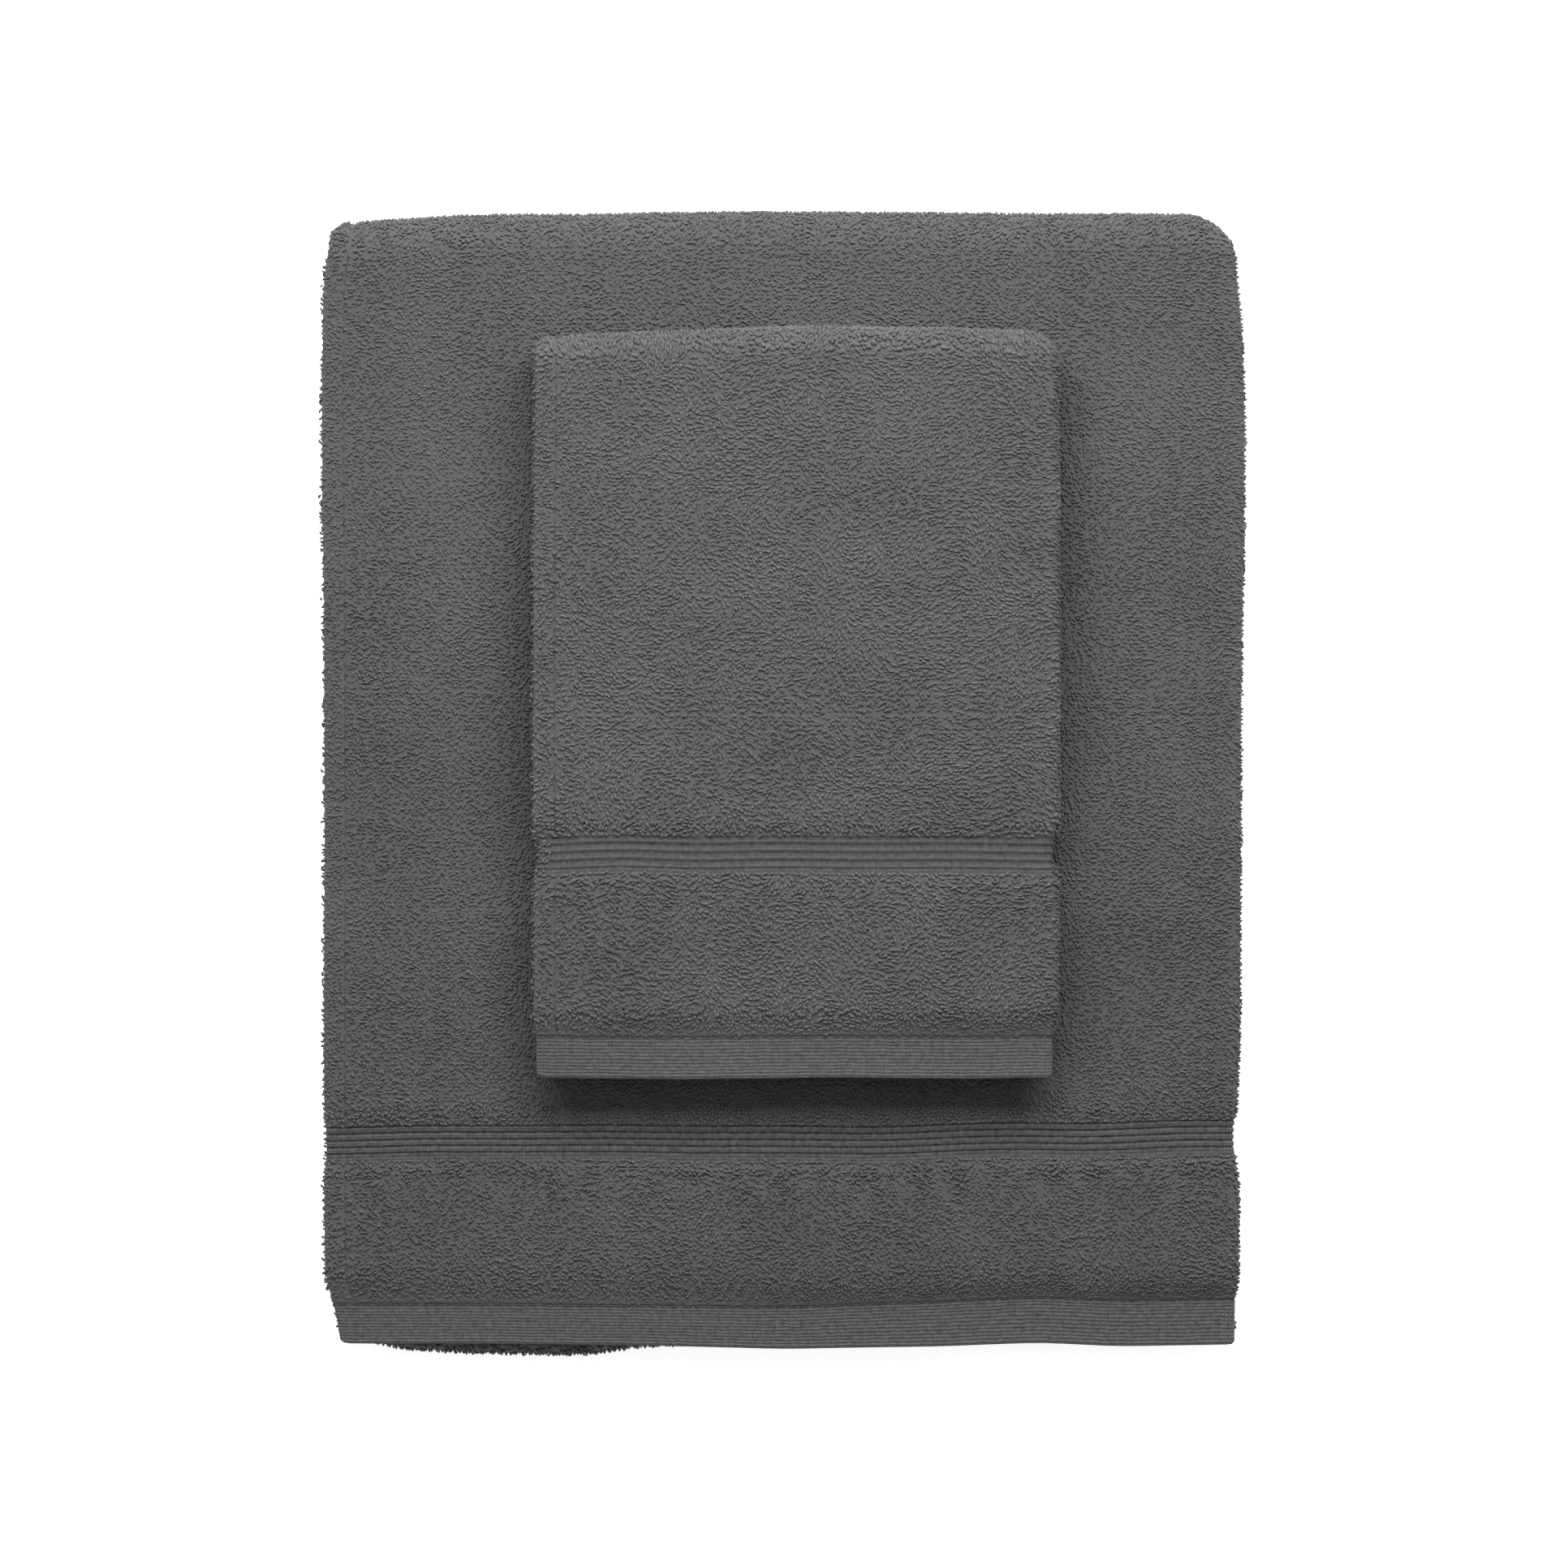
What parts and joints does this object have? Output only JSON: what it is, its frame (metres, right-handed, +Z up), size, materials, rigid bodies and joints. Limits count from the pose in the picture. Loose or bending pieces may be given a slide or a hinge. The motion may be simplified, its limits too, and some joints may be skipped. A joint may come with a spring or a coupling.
{
  "type": "folded bath towel set",
  "caption": "Folded terry bath towel with a smaller folded guest towel lying on it, both with ribbed borders and flat hems.",
  "frame": {"origin": "middle of the bath towel's footprint, on the surface it lies on", "axes": "+Z up through the stack; +Y from the front hems to the back folds; +X from the open side edges to the folded side"},
  "size_m": [0.351, 0.434, 0.0505],
  "materials": {
    "bath_terry": "matte",
    "guest_terry": "matte",
    "border_weave": "matte",
    "hem_weave": "matte",
    "sewing_thread": "matte"
  },
  "bodies": {
    "bath_towel": {"bath_base_panel": "bath_terry", "bath_front_fold": "bath_terry", "bath_tucked_panel": "bath_terry", "bath_tucked_border": "border_weave", "bath_tucked_end_band": "bath_terry", "bath_tucked_hem": "hem_weave", "bath_tucked_hem_stitching": "sewing_thread", "bath_back_fold": "bath_terry", "bath_top_panel": "bath_terry", "bath_top_border": "border_weave", "bath_top_end_band": "bath_terry", "bath_top_hem": "hem_weave", "bath_top_hem_stitching": "sewing_thread", "bath_top_side_stitching": "sewing_thread"},
    "guest_lower_half": {"guest_lower_panel": "guest_terry", "guest_lower_border": "border_weave", "guest_lower_end_band": "guest_terry", "guest_lower_hem": "hem_weave", "guest_lower_hem_stitching": "sewing_thread", "guest_back_fold": "guest_terry"},
    "guest_upper_half": {"guest_upper_panel": "guest_terry", "guest_upper_border": "border_weave", "guest_upper_end_band": "guest_terry", "guest_upper_hem": "hem_weave", "guest_upper_hem_stitching": "sewing_thread", "guest_upper_side_stitching": "sewing_thread"}
  },
  "joints": [
    {"name": "guest_lift", "type": "slide", "parent": "bath_towel", "child": "guest_lower_half", "axis": [0, 0, 1], "range_m": [0, 0.15]},
    {"name": "guest_unfold", "type": "hinge", "parent": "guest_lower_half", "child": "guest_upper_half", "pos_m": [0.0051, 0.16424, 0.04025], "axis": [-1, 0, 0], "range_deg": [0, 179], "deforming": ["guest_back_fold"]}
  ]
}
